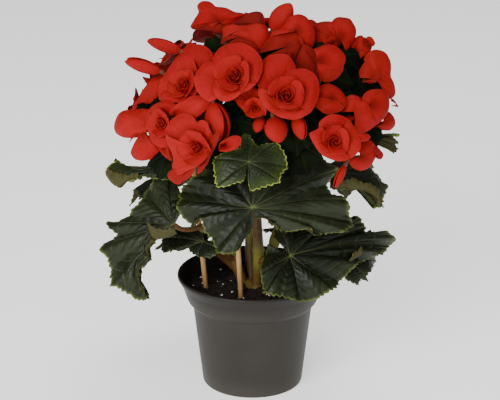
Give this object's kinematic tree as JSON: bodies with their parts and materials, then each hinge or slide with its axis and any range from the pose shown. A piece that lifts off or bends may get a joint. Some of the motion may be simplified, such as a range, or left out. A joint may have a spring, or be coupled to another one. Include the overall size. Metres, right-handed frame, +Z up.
{
  "type": "potted flowering begonia",
  "caption": "Potted begonia with a dome of red double blooms over dark toothed leaves on fleshy stems, with support canes, in a tapered nursery pot of peat.",
  "frame": {"origin": "centre of the pot's flat foot, on the ground", "axes": "+Z up the plant, -Y to the front as pictured, +X to the picture's right"},
  "size_m": [0.2532, 0.2214, 0.3394],
  "materials": {
    "pot_plastic": "satin",
    "peat": "matte",
    "cane_wood": "matte",
    "stem_flesh": "satin",
    "leaf_green": "satin",
    "petal_red": "satin"
  },
  "bodies": {
    "root": {"pot": "pot_plastic", "soil": "peat", "cane_left": "cane_wood", "cane_front": "cane_wood", "stems": "stem_flesh", "leaf_back": "leaf_green", "leaf_back_left": "leaf_green", "leaf_back_low": "leaf_green", "leaf_back_low_left": "leaf_green", "leaf_back_right": "leaf_green", "leaf_centre_big": "leaf_green", "leaf_centre_small": "leaf_green", "leaf_left_big": "leaf_green", "leaf_left_folded": "leaf_green", "leaf_left_low": "leaf_green", "leaf_right_far": "leaf_green", "leaf_right_high": "leaf_green", "leaf_right_low": "leaf_green", "leaf_right_mid": "leaf_green", "bloom_01": "petal_red", "bloom_02": "petal_red", "bloom_03": "petal_red", "bloom_04": "petal_red", "bloom_05": "petal_red", "bloom_06": "petal_red", "bloom_07": "petal_red", "bloom_08": "petal_red", "bloom_09": "petal_red", "bloom_10": "petal_red", "bloom_11": "petal_red", "bloom_12": "petal_red", "bloom_13": "petal_red", "bloom_14": "petal_red", "bloom_15": "petal_red", "bloom_16": "petal_red", "bloom_17": "petal_red", "bloom_18": "petal_red", "bloom_19": "petal_red", "bloom_20": "petal_red", "bloom_21": "petal_red", "bloom_22": "petal_red", "bloom_23": "petal_red", "bloom_24": "petal_red", "bloom_25": "petal_red", "bloom_26": "petal_red", "bloom_27": "petal_red", "bloom_28": "petal_red", "bloom_29": "petal_red", "bloom_30": "petal_red", "bloom_31": "petal_red", "bloom_32": "petal_red", "bloom_33": "petal_red", "bud_1": "petal_red", "bud_2": "petal_red", "bud_3": "petal_red", "bud_4": "petal_red", "bud_5": "petal_red", "bud_6": "petal_red", "bud_7": "petal_red", "bud_8": "petal_red"}
  },
  "joints": []
}
